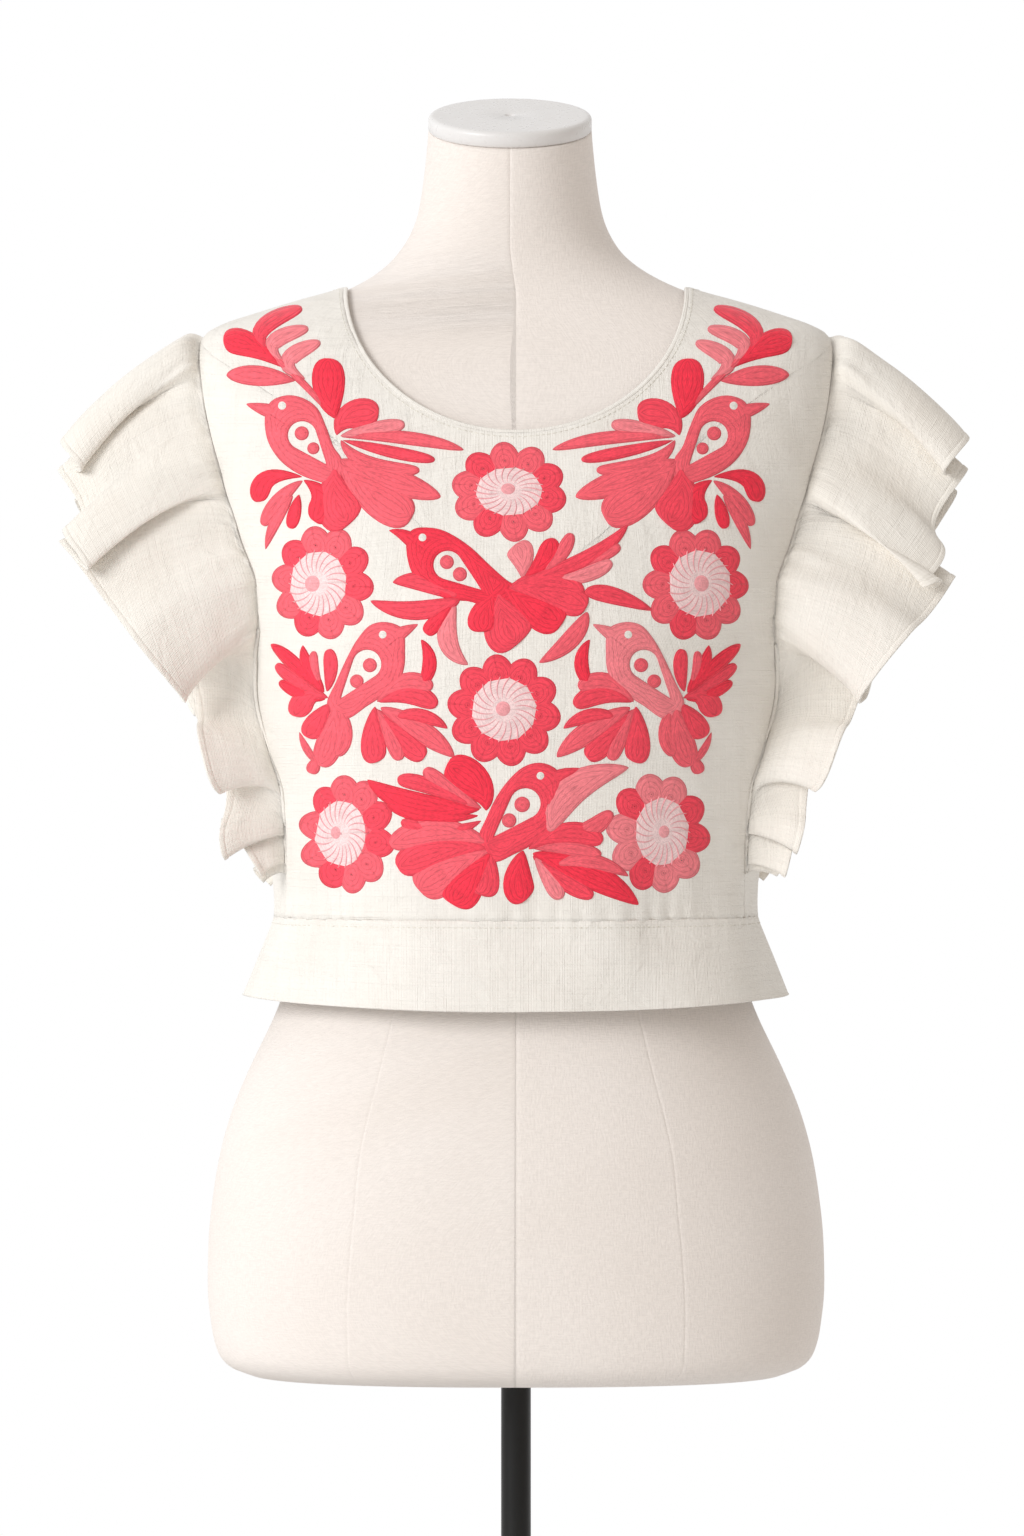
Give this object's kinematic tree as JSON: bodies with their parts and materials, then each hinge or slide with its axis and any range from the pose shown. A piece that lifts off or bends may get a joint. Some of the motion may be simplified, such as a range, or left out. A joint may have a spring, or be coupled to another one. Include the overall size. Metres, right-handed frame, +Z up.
{
  "type": "embroidered ruffle blouse on a dress form with a pole stand",
  "caption": "Cropped blouse with an embroidered front, ruffled armholes and a flared hem band, worn by a limbless dress form on a pole and round base.",
  "frame": {"origin": "centre of the stand's round base, on its underside", "axes": "+Z up along the pole, +X to the viewer's right, the front of the blouse faces -Y"},
  "size_m": [0.5262, 0.33, 1.159],
  "materials": {
    "cream_cloth": "matt woven linen and cotton, undyed cream",
    "form_cover": "matt stretched jersey, pale beige",
    "white_plastic": "smooth white",
    "black_metal": "satin black paint",
    "embroidery_thread": "satin-stitched coral red thread"
  },
  "bodies": {
    "root": {"base": "black_metal", "pole": "black_metal", "dress_form": "form_cover", "neck_cap": "white_plastic", "front_panel": "cream_cloth", "back_panel": "cream_cloth", "side_panel_left": "cream_cloth", "side_panel_right": "cream_cloth", "neck_binding": "cream_cloth", "hem_band_front": "cream_cloth", "hem_band_back": "cream_cloth", "ruffle_left": "cream_cloth", "ruffle_right": "cream_cloth"}
  },
  "joints": []
}
